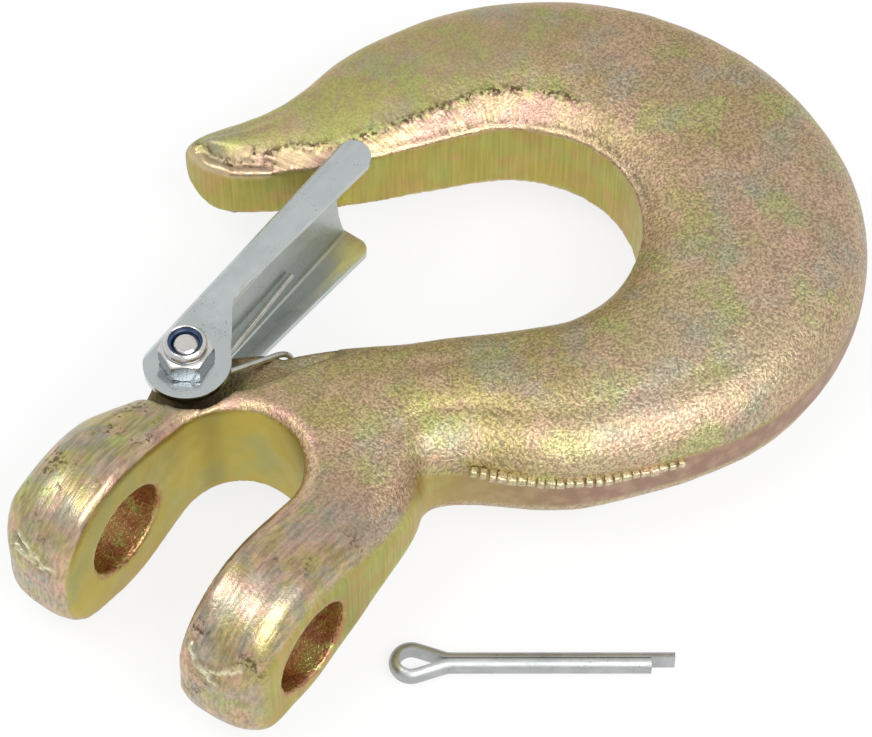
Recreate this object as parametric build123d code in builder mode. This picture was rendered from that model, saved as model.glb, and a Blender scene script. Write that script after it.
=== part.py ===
from build123d import *
import math
import os

# Forged clevis slip hook with a sprung safety latch, lying flat, and a loose split pin.
# The origin is the middle of the clevis bore, X runs along the shank to the bowl,
# Y runs across towards the tip side, and Z is up out of the flat of the hook.
# All sizes are in millimetres.
os.makedirs("parts", exist_ok=True)

# Clevis fork
bore_diameter = 14.3
fork_gap = 19.6
fork_half_width = 22.9
eye_radius = 14.7
eye_end = 14.6
eye_corner = 6.5
slot_floor = 22.1
slot_edge = 1.25
fork_start = 10.0
fork_swell_start = 20.0
fork_square_start = 17.0
cut_margin = 1.0

# Throat and shank
throat_radius = 17.4
throat_x = 72.8
throat_y = -7.2
throat_open_angle = 30.0
shank_lean = 45.4
neck_length = 20.4
shank_bend = (36.0, 6.0)
latch_seat = (22.0, 15.0)
fork_inner_y = 21.6
notch = (30.0, -21.4)
notch_turn = (38.6, -34.0)
neck_back = (24.0, -22.4)

# Bowl
bowl_half_height = 10.6
bowl_radius = 41.3
back_radius = 47.7
back_x = 73.0
back_y = -12.0
back_start_angle = 69.0
back_join_angle = -28.0
bowl_end_angle = -127.0
crown = 1.0

# Tip
tip_half_height = 7.2
tip_nose_round = 0.12
tip_inner_points = [(55.2, 42.0), (54.9, 36.5), (59.4, 29.7), (67.7, 20.6), (75.5, 14.4), (82.9, 8.6)]
tip_back_points = [(57.0, 44.2), (60.6, 42.8), (66.2, 39.2), (73.1, 36.3), (80.6, 35.3)]

# Sheared wall and rounded shoulder of each section, at the tip, bowl, shank and fork
tip_wall = 4.6
tip_facet = 3.0
tip_band = 1.5
tip_shoulder = 4.0
throat_wall = 6.6
throat_facet = 5.2
back_band = 0.6
back_shoulder = 9.0
shank_band = 2.0
shank_shoulder = 7.5
eye_band = 8.6
eye_shoulder = 7.0
facet_bulge = 0.08
round_bulge = 0.414

# Latch lug, the recess beside it and the latch bolt
pivot_x = 22.0
pivot_y = 15.7
lug_radius = 4.8
lug_half_height = 5.6
lug_tail = 8.5
recess_radius = 7.7
bolt_diameter = 4.0
running_clearance = 0.05
axial_clearance = 0.1
nut_width = 7.0
head_height = 2.8
nut_hex_height = 3.5
nut_height = 5.0
collar_lip = 2.5
insert_radius = 2.75
insert_height = 1.4
collar_roof = 0.4
bolt_reach = 4.5
hex_turn = -137.0

# Pressed sheet latch, measured from its pivot
sheet = 1.1
latch_inner_width = 19.6
fold_radius = 0.6
latch_head_radius = 6.3
web_start = -0.7
web_end = 43.8
web_hollow = 1.6
cheek_reach = 46.3
cheek_end_radius = 3.1
lower_cheek_reach = 44.0
lower_cheek_corner = 2.2
waist = (15.0, 1.8)
head_hollow = [(10.4, 0.0), (7.4, -2.2)]
head_angle = -46.0

# Torsion spring of the latch, measured from its pivot
wire = 0.9
coil_radius = 3.2
coil_turns = 3
spring_gap = 0.3
leg_reach = 29.6
bridge_x = 13.25
bridge_y = -8.1
bridge_z = 6.6
bridge_bend = 1.0
coil_lead = 1.5

# Loose split pin
pin_depth = 1.45
pin_split = 0.14
pin_eye_radius = 1.75
pin_neck = 5.0
pin_bend = 3.0
pin_long_leg = 37.3
pin_short_leg = 33.9
pin_x = 11.7
pin_y = -30.8
pin_turn = -54.3


def ease(value, start, end):
    # Runs smoothly from 0 at start to 1 at end
    u = min(1.0, max(0.0, (value - start) / (end - start)))
    return u * u * (3 - 2 * u)


def mix(first, second, u):
    return first + (second - first) * u


def polar(x, y, radius, degrees):
    return (x + radius * math.cos(math.radians(degrees)), y + radius * math.sin(math.radians(degrees)))


def heading(degrees):
    # Way along a circle, clockwise, at this angle
    return (math.sin(math.radians(degrees)), -math.cos(math.radians(degrees)))


# Outline of the throat side: the tip, the round throat and the leaning shank
shank_angle = shank_lean + 90.0
throat_start = polar(throat_x, throat_y, throat_radius, throat_open_angle)
shank_start = polar(throat_x, throat_y, throat_radius, -shank_angle)
neck_inner = polar(*shank_start, neck_length, 180.0 - shank_lean)
with BuildLine() as tip_inner:
    Spline(tip_inner_points + [throat_start], tangents=[(-0.2, -1.0), heading(throat_open_angle)])
with BuildLine() as shank_inner:
    Spline(
        [neck_inner, shank_bend, latch_seat, (fork_start, fork_inner_y)],
        tangents=[heading(-shank_angle), (-0.96, 0.28)],
    )

# Outline of the back: the tip, the round bowl, the notch and the near side of the fork
bowl_x, bowl_y = polar(back_x, back_y, back_radius - bowl_radius, back_join_angle)
back_start = polar(back_x, back_y, back_radius, back_start_angle)
bowl_end = polar(bowl_x, bowl_y, bowl_radius, bowl_end_angle)
with BuildLine() as back_side:
    Spline(tip_back_points + [back_start], tangents=[(1.0, 0.0), heading(back_start_angle)])
    CenterArc((back_x, back_y), back_radius, back_start_angle, back_join_angle - back_start_angle)
    CenterArc((bowl_x, bowl_y), bowl_radius, back_join_angle, bowl_end_angle - back_join_angle)
    Spline([bowl_end, notch_turn, notch], tangents=[heading(bowl_end_angle), (-0.85, 0.53)])
with BuildLine() as neck_outer:
    Spline([notch, neck_back, (fork_start, -fork_half_width)], tangents=[(-1.0, 0.1), (-1.0, 0.0)])


def back_at(angle):
    # How far along the back it lies at this angle round the middle of the throat
    low = 0.0
    high = 1.0
    for _ in range(40):
        middle = (low + high) / 2
        point = back_side.line @ middle
        seen = math.degrees(math.atan2(point.Y - throat_y, point.X - throat_x))
        if seen > 135.0:
            seen -= 360.0
        if seen > angle:
            low = middle
        else:
            high = middle
    return (low + high) / 2


def forging_section(inner, outer, wall, facet, bulge, band, shoulder, edge_drop, height):
    # One closed section across the hook, from its throat wall to its back
    across = Vector(outer.X - inner.X, outer.Y - inner.Y, 0)
    width = across.length
    plane = Plane(origin=(inner.X, inner.Y, 0), x_dir=across, z_dir=across.cross(Vector(0, 0, 1)))
    rim = height - edge_drop
    inner_corner = (facet, rim)
    outer_corner = (width - shoulder, rim)
    inner_mid = (mix(facet / 2, 0, bulge), mix((wall + rim) / 2, rim, bulge))
    outer_mid = (mix(width - shoulder / 2, width, round_bulge), mix((band + rim) / 2, rim, round_bulge))

    def flip(point):
        return (point[0], -point[1])

    with BuildSketch(plane) as section:
        with BuildLine():
            Line((0, -wall), (0, wall))
            ThreePointArc((0, wall), inner_mid, inner_corner)
            ThreePointArc(inner_corner, (width / 2, height), outer_corner)
            ThreePointArc(outer_corner, outer_mid, (width, band))
            Line((width, band), (width, -band))
            ThreePointArc((width, -band), flip(outer_mid), flip(outer_corner))
            ThreePointArc(flip(outer_corner), (width / 2, -height), flip(inner_corner))
            ThreePointArc(flip(inner_corner), flip(inner_mid), (0, -wall))
        make_face()
    return section.sketch.faces()[0]


sections = []


def add_section(inner, outer, body, shank, eye, size, height):
    # The shares body, shank and eye say how far the form has turned from tip to bowl, shank and fork
    wall = mix(mix(mix(tip_wall, throat_wall, body), shank_band, shank), eye_band, eye)
    facet = mix(mix(mix(tip_facet, throat_facet, body), shank_shoulder, shank), eye_shoulder, eye)
    band = mix(mix(mix(tip_band, back_band, body), shank_band, shank), eye_band, eye)
    shoulder = mix(mix(mix(tip_shoulder, back_shoulder, body), shank_shoulder, shank), eye_shoulder, eye)
    bulge = mix(facet_bulge, round_bulge, shank)
    drop = crown * size
    sections.append(
        forging_section(
            inner, outer, wall * size, facet * size, bulge, band * size, shoulder * size, drop, height * size
        )
    )


# Tip, with the sections closing in on its blunt nose
tip_back_end = back_at(throat_open_angle)
for u in [0.0, 0.03, 0.08, 0.16, 0.3, 0.45, 0.6, 0.75, 0.9]:
    body = ease(u, 0.1, 1.2)
    size = math.sqrt(1 - (1 - min(1.0, 0.08 + u / tip_nose_round)) ** 2)
    height = mix(tip_half_height, bowl_half_height, body)
    add_section(tip_inner.line @ u, back_side.line @ (u * tip_back_end), body, 0.0, 0.0, size, height)

# Bowl, with the sections fanned round the throat
ray_count = 9
for i in range(ray_count + 1):
    u = i / ray_count
    angle = mix(throat_open_angle - 8.0, -shank_angle, u)
    body = ease(0.9 + 0.9 * u, 0.1, 1.2)
    height = mix(tip_half_height, bowl_half_height, body)
    inner = Vector(*polar(throat_x, throat_y, throat_radius, angle))
    add_section(inner, back_side.line @ back_at(angle), body, ease(u, 0.35, 1.3), 0.0, 1.0, height)

# Shank, down to the notch
neck_start = back_at(-shank_angle)
neck_count = 3
for i in range(1, neck_count + 1):
    u = i / neck_count
    inner = Vector(mix(shank_start[0], neck_inner[0], u), mix(shank_start[1], neck_inner[1], u))
    outer = back_side.line @ mix(neck_start, 1.0, u)
    add_section(inner, outer, 1.0, ease(0.95 + 0.3 * u, 0.35, 1.3), 0.0, 1.0, bowl_half_height)

# Root of the fork, which swells to the height of the eyes
root_count = 5
for i in range(1, root_count + 1):
    u = i / root_count
    outer = neck_outer.line @ u
    height = mix(bowl_half_height, eye_radius, ease(-outer.X, -fork_swell_start, 0.0))
    add_section(shank_inner.line @ u, outer, 1.0, 1.0, ease(u, 0.4, 1.4), 1.0, height)

# Fork, rounded in side view about the bore and at its four outer corners
end_count = 8
for i in range(1, end_count + 1):
    x = mix(fork_start, -eye_end, math.sin(math.pi / 2 * i / end_count))
    corner = max(0.0, eye_corner - eye_end - x) / eye_corner
    half = fork_half_width - eye_corner * (1 - math.sqrt(1 - 0.98 * corner ** 2))
    dome = math.sqrt(1 - 0.96 * (min(0.0, x) / eye_end) ** 2)
    height = mix(bowl_half_height, eye_radius, ease(-x, -fork_swell_start, 0.0))
    add_section(Vector(x, half), Vector(x, -half), 1.0, 1.0, ease(-x, -fork_square_start, 0.0), dome, height)

# Hook: the lofted forging, cut by the slot, the bore, the latch recesses and the bolt hole
cut_height = 2 * (eye_radius + cut_margin)
slot_middle = slot_floor - fork_gap / 2
bolt_hole = bolt_diameter / 2 + running_clearance
with BuildPart() as hook_body:
    loft(sections=sections)
    with BuildSketch(Plane.XY.offset(-cut_height / 2)):
        with Locations((slot_middle, 0)):
            Circle(fork_gap / 2)
        with Locations((slot_middle - cut_height, 0)):
            Rectangle(2 * cut_height, fork_gap)
    extrude(amount=cut_height, mode=Mode.SUBTRACT)
    slot_rim = []
    for rim in hook_body.edges():
        box = rim.bounding_box()
        on_slot = max(abs(box.min.Y), abs(box.max.Y)) < fork_gap / 2 + 0.01 and box.center().X < slot_floor
        at_end = box.max.X < 0.01 - eye_end
        along = box.size.X > slot_edge and abs(box.center().Z) > bore_diameter / 2
        if on_slot and (at_end or along):
            slot_rim.append(rim)
    chamfer(slot_rim, length=slot_edge)
    with BuildSketch(Plane.XZ):
        Circle(bore_diameter / 2)
    extrude(amount=fork_half_width + cut_margin, both=True, mode=Mode.SUBTRACT)
    for side in [1, -1]:
        with BuildSketch(Plane((pivot_x, pivot_y, side * lug_half_height))):
            Circle(recess_radius)
            with BuildLine():
                Polyline(
                    (-recess_radius, 0),
                    (0, -recess_radius),
                    (2 * recess_radius, -2 * recess_radius),
                    (5 * recess_radius, 0),
                    (0, 3 * recess_radius),
                    (-recess_radius, 3 * recess_radius),
                    close=True,
                )
            make_face()
        extrude(amount=side * cut_height, mode=Mode.SUBTRACT)
    with BuildSketch(Plane((pivot_x, pivot_y, -lug_half_height))):
        Circle(lug_radius)
        with BuildLine():
            Polyline(
                polar(0, 0, lug_radius, 105.0),
                (-lug_tail, lug_radius / 2),
                (-lug_radius, -lug_radius),
                (lug_tail, -lug_tail),
                (1.35 * lug_tail, -0.85 * lug_tail),
                polar(0, 0, lug_radius, 5.0),
                close=True,
            )
        make_face()
    extrude(amount=2 * lug_half_height)
    with BuildSketch(Plane((pivot_x, pivot_y, -cut_height / 2))):
        Circle(bolt_hole)
    extrude(amount=cut_height, mode=Mode.SUBTRACT)
hook_body.part.label = "hook_body"
export_step(hook_body.part, "parts/hook_body.step")

# Latch: a folded channel whose cheeks pass either side of the tip and of the lug
latch_inner = latch_inner_width / 2
latch_half = latch_inner + sheet
with BuildPart() as latch:
    with BuildSketch(Plane.YZ.offset(pivot_x - latch_head_radius)):
        with BuildLine():
            top = pivot_y + latch_head_radius
            low = pivot_y - latch_head_radius
            FilletPolyline((low, -latch_half), (top, -latch_half), (top, latch_half), (low, latch_half),
                           radius=fold_radius + sheet)
            Polyline((low, latch_half), (low, latch_inner))
            FilletPolyline((low, latch_inner), (top - sheet, latch_inner), (top - sheet, -latch_inner),
                           (low, -latch_inner), radius=fold_radius)
            Polyline((low, -latch_inner), (low, -latch_half))
        make_face()
    extrude(amount=latch_head_radius + cheek_reach)
    cheek_end_y = latch_head_radius - cheek_end_radius
    with BuildSketch(Plane((pivot_x, pivot_y, -latch_half))):
        with BuildLine():
            end_x = cheek_reach - cheek_end_radius
            Line((0, latch_head_radius), (end_x, latch_head_radius))
            CenterArc((end_x, cheek_end_y), cheek_end_radius, 90, -180)
            Line((end_x, cheek_end_y - cheek_end_radius), waist)
            Spline([waist] + head_hollow + [polar(0, 0, latch_head_radius, head_angle)],
                   tangents=[(-1.0, 0.06), heading(head_angle)])
            CenterArc((0, 0), latch_head_radius, head_angle, -270 - head_angle)
        make_face()
    extrude(amount=2 * latch_half, mode=Mode.INTERSECT)
    with BuildSketch(Plane((pivot_x, pivot_y, -latch_inner))):
        with Locations((web_start - latch_head_radius, 0)):
            Rectangle(2 * latch_head_radius, 3 * latch_head_radius)
    extrude(amount=2 * latch_inner, mode=Mode.SUBTRACT)
    with BuildSketch(Plane((pivot_x, pivot_y, 0), x_dir=(1, 0, 0), z_dir=(0, -1, 0))):
        with BuildLine():
            ThreePointArc((web_end, -latch_inner), (web_end - web_hollow, 0), (web_end, latch_inner))
            Polyline(
                (web_end, latch_inner),
                (web_end + latch_half, latch_inner),
                (web_end + latch_half, -latch_inner),
                (web_end, -latch_inner),
            )
        make_face()
    extrude(amount=2 * latch_head_radius, both=True, mode=Mode.SUBTRACT)
    with BuildSketch(Plane((pivot_x, pivot_y, -latch_half))):
        with BuildLine():
            corner_x = lower_cheek_reach - lower_cheek_corner
            cheek_low = cheek_end_y - cheek_end_radius
            CenterArc((corner_x, cheek_low + lower_cheek_corner), lower_cheek_corner, 0, -90)
            Polyline(
                (corner_x, cheek_low),
                (corner_x, cheek_low - sheet),
                (lower_cheek_reach + latch_half, cheek_low - sheet),
                (lower_cheek_reach + latch_half, latch_head_radius + sheet),
                (lower_cheek_reach, latch_head_radius + sheet),
                (lower_cheek_reach, cheek_low + lower_cheek_corner),
            )
        make_face()
    extrude(amount=latch_half, mode=Mode.SUBTRACT)
    with BuildSketch(Plane((pivot_x, pivot_y, -latch_half))):
        Circle(bolt_hole)
    extrude(amount=2 * latch_half, mode=Mode.SUBTRACT)
latch.part.label = "latch"
export_step(latch.part, "parts/latch.step")

# Latch bolt: a hexagon head below and a plain shank up into the nut
nut_seat = latch_half + axial_clearance
hexagon_radius = nut_width / 2
with BuildPart() as latch_bolt:
    with BuildSketch(Plane((pivot_x, pivot_y, -nut_seat))):
        RegularPolygon(hexagon_radius, 6, major_radius=False, rotation=hex_turn)
    extrude(amount=-head_height)
    with BuildSketch(Plane((pivot_x, pivot_y, -nut_seat))):
        Circle(bolt_diameter / 2)
    extrude(amount=2 * nut_seat + bolt_reach)
    end_edge = latch_bolt.edges().filter_by(GeomType.CIRCLE).sort_by(Axis.Z)[-1]
    chamfer(end_edge, length=bolt_diameter / 10)
latch_bolt.part.label = "latch_bolt"
export_step(latch_bolt.part, "parts/latch_bolt.step")

# Lock nut: a hexagon with a rolled collar that holds the insert
insert_floor = nut_height - collar_roof - insert_height
with BuildPart() as latch_nut:
    with BuildSketch(Plane((pivot_x, pivot_y, nut_seat))):
        RegularPolygon(hexagon_radius, 6, major_radius=False, rotation=hex_turn)
    extrude(amount=nut_hex_height)
    with BuildSketch(Plane((pivot_x, pivot_y, nut_seat), x_dir=(1, 0, 0), z_dir=(0, -1, 0))):
        with BuildLine():
            Polyline((0, nut_hex_height), (hexagon_radius, nut_hex_height))
            ThreePointArc(
                (hexagon_radius, nut_hex_height),
                (mix(hexagon_radius, collar_lip, 0.3), mix(nut_hex_height, nut_height, 0.72)),
                (collar_lip + 0.2, nut_height),
            )
            Polyline((collar_lip + 0.2, nut_height), (0, nut_height), (0, nut_hex_height))
        make_face()
    revolve(axis=Axis((pivot_x, pivot_y, 0), (0, 0, 1)))
    with BuildSketch(Plane((pivot_x, pivot_y, nut_seat + insert_floor))):
        Circle(insert_radius + running_clearance)
    extrude(amount=insert_height, mode=Mode.SUBTRACT)
    with BuildSketch(Plane((pivot_x, pivot_y, nut_seat + insert_floor))):
        Circle(collar_lip)
    extrude(amount=nut_height, mode=Mode.SUBTRACT)
    with BuildSketch(Plane((pivot_x, pivot_y, nut_seat))):
        Circle(bolt_hole)
    extrude(amount=nut_height, mode=Mode.SUBTRACT)
latch_nut.part.label = "latch_nut"
export_step(latch_nut.part, "parts/latch_nut.step")

# Locking ring held in the nut's collar
with BuildPart() as nut_insert:
    with BuildSketch(Plane((pivot_x, pivot_y, nut_seat + insert_floor))):
        Circle(insert_radius)
        Circle(bolt_hole, mode=Mode.SUBTRACT)
    extrude(amount=insert_height)
nut_insert.part.label = "nut_insert"
export_step(nut_insert.part, "parts/nut_insert.step")

# Spring: two coils on the bolt, legs against the latch's web and a bridge round the shank
coil_low = lug_half_height + spring_gap + wire / 2
coil_high = latch_inner - spring_gap - wire / 2
leg_y = latch_head_radius - sheet - spring_gap - wire / 2
leg_distance = math.hypot(leg_reach, leg_y)
bridge_distance = math.hypot(bridge_x, bridge_y)
leg_angle = math.degrees(math.atan2(leg_y, leg_reach) + math.acos(coil_radius / leg_distance))
bridge_angle = math.degrees(math.atan2(bridge_y, bridge_x) - math.acos(coil_radius / bridge_distance))
turns = coil_turns + (bridge_angle - leg_angle) / 360
pitch = (coil_high - coil_low) / turns
slope = pitch / (2 * math.pi * coil_radius)
leg_length = math.sqrt(leg_distance ** 2 - coil_radius ** 2)
coil_start = polar(0, 0, coil_radius, leg_angle)
coil_end = polar(0, 0, coil_radius, bridge_angle)
lead_end = polar(*coil_end, coil_lead, bridge_angle + 90.0)


def from_pivot(x, y, z):
    return (pivot_x + x, pivot_y + y, z)


with BuildPart() as latch_spring:
    with BuildLine() as half_wire:
        Line(from_pivot(leg_reach, leg_y, coil_low - slope * leg_length), from_pivot(*coil_start, coil_low))
        coil = Helix(pitch, coil_high - coil_low, coil_radius, mode=Mode.PRIVATE)
        add(Location(from_pivot(0, 0, coil_low), (0, 0, leg_angle)) * coil)
        FilletPolyline(
            from_pivot(*coil_end, coil_high),
            from_pivot(*lead_end, coil_high + slope * coil_lead),
            from_pivot(bridge_x, bridge_y, bridge_z),
            from_pivot(bridge_x, bridge_y, 0),
            radius=bridge_bend,
        )
    path = half_wire.wires()[0]
    with BuildSketch(Plane(origin=path @ 0, z_dir=path % 0)):
        RegularPolygon(wire / 2, 8)
    sweep(path=path)
    mirror(about=Plane.XY)
latch_spring.part.label = "latch_spring"
export_step(latch_spring.part, "parts/latch_spring.step")

# Split pin: half-round wire bent round its eye, lying on the floor the hook lies on
rim_share = (fork_gap / 2 + slot_edge) / (fork_half_width - eye_shoulder)
floor = crown * rim_share ** 2 - eye_radius
pin_plane = Plane(
    origin=(pin_x, pin_y, floor + pin_depth),
    x_dir=(math.cos(math.radians(pin_turn)), math.sin(math.radians(pin_turn)), 0),
    z_dir=(0, 0, 1),
)
eye_tangent = math.degrees(math.acos(pin_eye_radius / pin_neck))
with BuildPart() as cotter_pin:
    for side, reach in [(1, pin_long_leg), (-1, pin_short_leg)]:
        with BuildLine(pin_plane) as pin_half:
            CenterArc((0, 0), pin_eye_radius, 180, -side * (180 - eye_tangent))
            FilletPolyline(
                polar(0, 0, pin_eye_radius, side * eye_tangent),
                (pin_neck, side * pin_split / 2),
                (reach, side * pin_split / 2),
                radius=pin_bend,
            )
        pin_path = pin_half.wires()[0]
        start = pin_plane.from_local_coords(Vector(-pin_eye_radius, 0, 0))
        outward = -1 * pin_plane.x_dir
        with BuildSketch(Plane(origin=start, x_dir=outward, z_dir=side * pin_plane.y_dir)):
            with BuildLine():
                CenterArc((0, 0), pin_depth, -90, 180)
                Line((0, pin_depth), (0, -pin_depth))
            make_face()
        sweep(path=pin_path)
cotter_pin.part.label = "cotter_pin"
export_step(cotter_pin.part, "parts/cotter_pin.step")
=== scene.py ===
import math

import bmesh
import bpy
import numpy as np
from mathutils import Matrix, Vector, noise
from mathutils.kdtree import KDTree


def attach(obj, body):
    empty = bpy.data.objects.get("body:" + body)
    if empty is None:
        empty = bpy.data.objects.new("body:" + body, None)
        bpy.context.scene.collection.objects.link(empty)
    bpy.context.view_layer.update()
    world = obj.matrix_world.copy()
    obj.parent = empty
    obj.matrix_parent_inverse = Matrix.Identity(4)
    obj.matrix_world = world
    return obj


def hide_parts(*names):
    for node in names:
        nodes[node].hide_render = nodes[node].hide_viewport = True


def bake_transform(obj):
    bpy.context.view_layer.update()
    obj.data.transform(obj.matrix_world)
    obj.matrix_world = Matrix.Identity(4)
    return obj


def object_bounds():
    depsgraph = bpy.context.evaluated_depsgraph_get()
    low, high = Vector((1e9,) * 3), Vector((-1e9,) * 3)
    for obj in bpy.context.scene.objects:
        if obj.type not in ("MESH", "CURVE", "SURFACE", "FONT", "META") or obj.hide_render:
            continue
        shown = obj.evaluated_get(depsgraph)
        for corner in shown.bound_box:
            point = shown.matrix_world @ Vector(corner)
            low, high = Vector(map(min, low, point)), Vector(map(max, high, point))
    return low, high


# Dressing of a forged clevis slip hook: the hook's forged skin, the latch with its bolt, nut
# and spring, and the loose split pin, each with its plated finish. X runs along the shank to
# the bowl, Y across towards the tip and Z up. Sizes are in millimetres, and MM makes them metres.
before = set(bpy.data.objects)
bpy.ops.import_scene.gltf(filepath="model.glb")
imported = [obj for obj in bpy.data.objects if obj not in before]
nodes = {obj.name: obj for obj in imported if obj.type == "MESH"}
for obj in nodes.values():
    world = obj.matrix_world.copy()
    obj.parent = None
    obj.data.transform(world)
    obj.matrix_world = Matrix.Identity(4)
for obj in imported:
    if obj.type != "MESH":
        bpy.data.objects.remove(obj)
cad_low, cad_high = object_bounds()
MM = 0.001

# Places and sizes repeated from the CAD
THROAT = (72.8, -7.2)
THROAT_FACET = 5.2
TIP_FACET = 3.0
SLOT_MIDDLE = 12.3
SLOT_HALF = 9.8
BORE_RADIUS = 7.15
PIVOT = (22.0, 15.7)
FOLD_HALF = 9.85
NUT_SEAT = 11.0
NUT_HALF_WIDTH = 3.5
NUT_HEX_HEIGHT = 3.5
NUT_HEIGHT = 5.0
COLLAR_LIP = 2.5
BOLT_RADIUS = 2.0
BOLT_TOP = 15.5
HEAD_LOW = -13.8
HOLE_RADIUS = 2.05
INSERT_RADIUS = 2.75
INSERT_LOW = 14.2
INSERT_TOP = 15.6


# Mesh helpers
def link(name, mesh):
    obj = bpy.data.objects.new(name, mesh)
    bpy.context.scene.collection.objects.link(obj)
    return obj


def evaluated(obj):
    """Mesh of obj with its modifiers applied."""
    bpy.context.view_layer.update()
    graph = bpy.context.evaluated_depsgraph_get()
    return bpy.data.meshes.new_from_object(obj.evaluated_get(graph), depsgraph=graph)


def apply_modifiers(obj):
    mesh = evaluated(obj)
    obj.modifiers.clear()
    obj.data = mesh


def welded(name, flat_angle=None):
    """Copy of a CAD node's mesh as one closed surface, with flat faces joined if asked."""
    mesh = nodes[name].data.copy()
    mesh.materials.clear()
    bm = bmesh.new()
    bm.from_mesh(mesh)
    bmesh.ops.remove_doubles(bm, verts=bm.verts, dist=WELD_DISTANCE * MM)
    if flat_angle is not None:
        limit = math.radians(flat_angle)
        bmesh.ops.dissolve_limit(bm, angle_limit=limit, verts=bm.verts, edges=bm.edges)
    bm.to_mesh(mesh)
    bm.free()
    return mesh


def read(items, name, width, kind=float):
    """Rows of a mesh's values, such as its points' places or normals."""
    out = np.empty(len(items) * width, kind)
    items.foreach_get(name, out)
    return out.reshape(-1, width)


def set_coords(mesh, points):
    mesh.vertices.foreach_set("co", points.ravel())
    mesh.update()


def set_float(mesh, name, values):
    layer = mesh.attributes.new(name, "FLOAT", "POINT")
    layer.data.foreach_set("value", np.asarray(values, np.float32))


def neighbour_mean(points, pairs):
    count = len(points)
    valence = np.maximum(np.bincount(pairs.ravel(), minlength=count), 1)[:, None]
    total = np.zeros_like(points)
    for axis in range(points.shape[1]):
        total[:, axis] = np.bincount(pairs[:, 0], points[pairs[:, 1], axis], count)
        total[:, axis] += np.bincount(pairs[:, 1], points[pairs[:, 0], axis], count)
    return total / valence


def even_out(points, pairs, count, weight, shares):
    """Moves each point this share of the way to its neighbours' mean, by its weight."""
    for share in shares * count:
        points = points + (neighbour_mean(points, pairs) - points) * share * weight[:, None]
    return points


def smoothstep(x, low, high):
    t = np.clip((x - low) / (high - low), 0, 1)
    return t * t * (3 - 2 * t)


def band(x, middle, width):
    """1 at the middle, fading to nothing on both sides."""
    return np.exp(-(((x - middle) / width) ** 2))


def noise_at(points, size, shift=0.0):
    """Smooth noise from -1 to 1 at each point, with lumps of this size."""
    places = points / size
    places[:, 0] += shift
    return np.array([noise.noise(Vector(place)) for place in places.tolist()])


def ridge_along(points, path, width):
    """1 on the path's straight runs, fading to nothing beside them."""
    nearest = np.full(len(points), np.inf)
    for start, end in zip(path, path[1:]):
        start, end = np.array(start), np.array(end)
        along = end - start
        t = np.clip((points - start) @ along / (along @ along), 0, 1)
        nearest = np.minimum(nearest, np.linalg.norm(points - start - t[:, None] * along, axis=1))
    return band(nearest, 0, width)


# Hook: a forged skin over the CAD solid, with hammered facets, a torn flash line and scuffs
WELD_DISTANCE = 0.001
VOXEL = 0.54
SMOOTH = (0.5, -0.51)
ROUND_OFF = (0.5,)
SMOOTH_ROUNDS = 5
NOSE_ROUNDS = 50
CREASE_ROUNDS = 20
PROUD_ROUNDS = 2
NOSE_PUSH = (-0.5, 0.0, -0.95)

# Trimming marks on the ears' noses, as paths in Y and Z
NOSE_MARKS = [
    [(18.5, 7.1), (15.8, 6.0), (12.2, 5.0)],
    [(19.4, 5.3), (16.4, 5.0), (13.6, 4.6)],
    [(-11.7, 7.2), (-13.2, 5.3), (-16.8, 3.7)],
    [(-14.4, 4.9), (-17.0, 5.8), (-19.6, 7.3)],
]
MARK_WIDTH = 0.42
BESIDE_MARK_WIDTH = 1.0

# Lap on the tip and crease on the shank, as paths in X and Y
TIP_LAP = [(56.2, 41.8), (55.2, 38.2), (56.0, 34.6), (59.4, 29.8)]
TO_LAP_GROOVE = (1.1, 0.2)
LAP_WIDTH = 0.6
LAP_GROOVE_WIDTH = 0.55
SHANK_CREASE = [(26.0, 7.0), (38.0, -2.0)]
TO_SPRING = (0.6, 0.8)
CREASE_WIDTH = 2.2

# Angles round the throat's middle, in degrees, over which each stretch of the hook comes in
THROAT_SIDE = (-115, -60)
SHARP_FACET = (-6, 24)
NARROW_FACET = (40, 105)
STROKED_FACET = (25, 60)
LIP_START = (-70, -30)
TIP_TURN = (80, 100)
TIP_END = (98, 112)

# Runs along X, Y or Z over which a form or the painted shade comes in
EAR_TO_SHANK = (8, 24)
SHANK_TO_BOWL = (26, 34)
BOWL_START = (40, 50)
NOSE_START = (8.5, 12.0)
FULLER_NOSE = (4, 10)
FULLER_BELOW = (0, 6)
LOWEST_NOSE = (12, 14)
RECESS_SHADE_HEIGHT = (8.0, 10.0)
SHADE_START = (20, 24)
SHADE_END = (29, 38)
SHADE_HEIGHT = (3, 6)
CREASE_TOP = (5, 7)

# Reaches from the bore, the slot's wall, the latch's pivot and the crease
BORE_EDGE = (0.1, 0.6)
BORE_CALM = (0.6, 2.2)
SLOT_EDGE = (0.05, 0.35)
SLOT_SOFTENED = (0.2, 1.8)
SLOT_RIM = (1.6, 2.8)
RECESS_SHADE_REACH = (7.4, 9.5)
RECESS_CALM = (8.0, 11.0)
CREASE_SHADE = (-0.3, 0.9)

# How flat a face lies where a wall turns into a flat, how far it looks away from the throat or
# up, and how proud or sunken it is where its edges wear or its hollows darken
WALL_TILT = (0.22, 0.5)
OUTER_WALL_TILT = (0.10, 0.26)
FACES_AWAY = (0.0, 0.4)
FACES_UP = (0.0, 0.3)
PROUD_OR_SUNKEN = (0.03, 0.16)

# Torn flash line past the throat facet, and rolled lip and groove beside its wall
FLASH_WANDER = 0.3
FLASH_WIDTH = 0.85
LIP_INSET = 0.3
GROOVE_INSET = 1.1
LIP_WIDTH = 0.35

# Masks painted on the hook, and places that its strokes follow
MASKS = ("wall", "outer", "slot", "facet", "stroked", "flash", "lip", "groove", "rim", "recess",
         "mark", "tip_end", "bore", "ear", "edge", "crevice")
PLACES = ("inset", "run")

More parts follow.
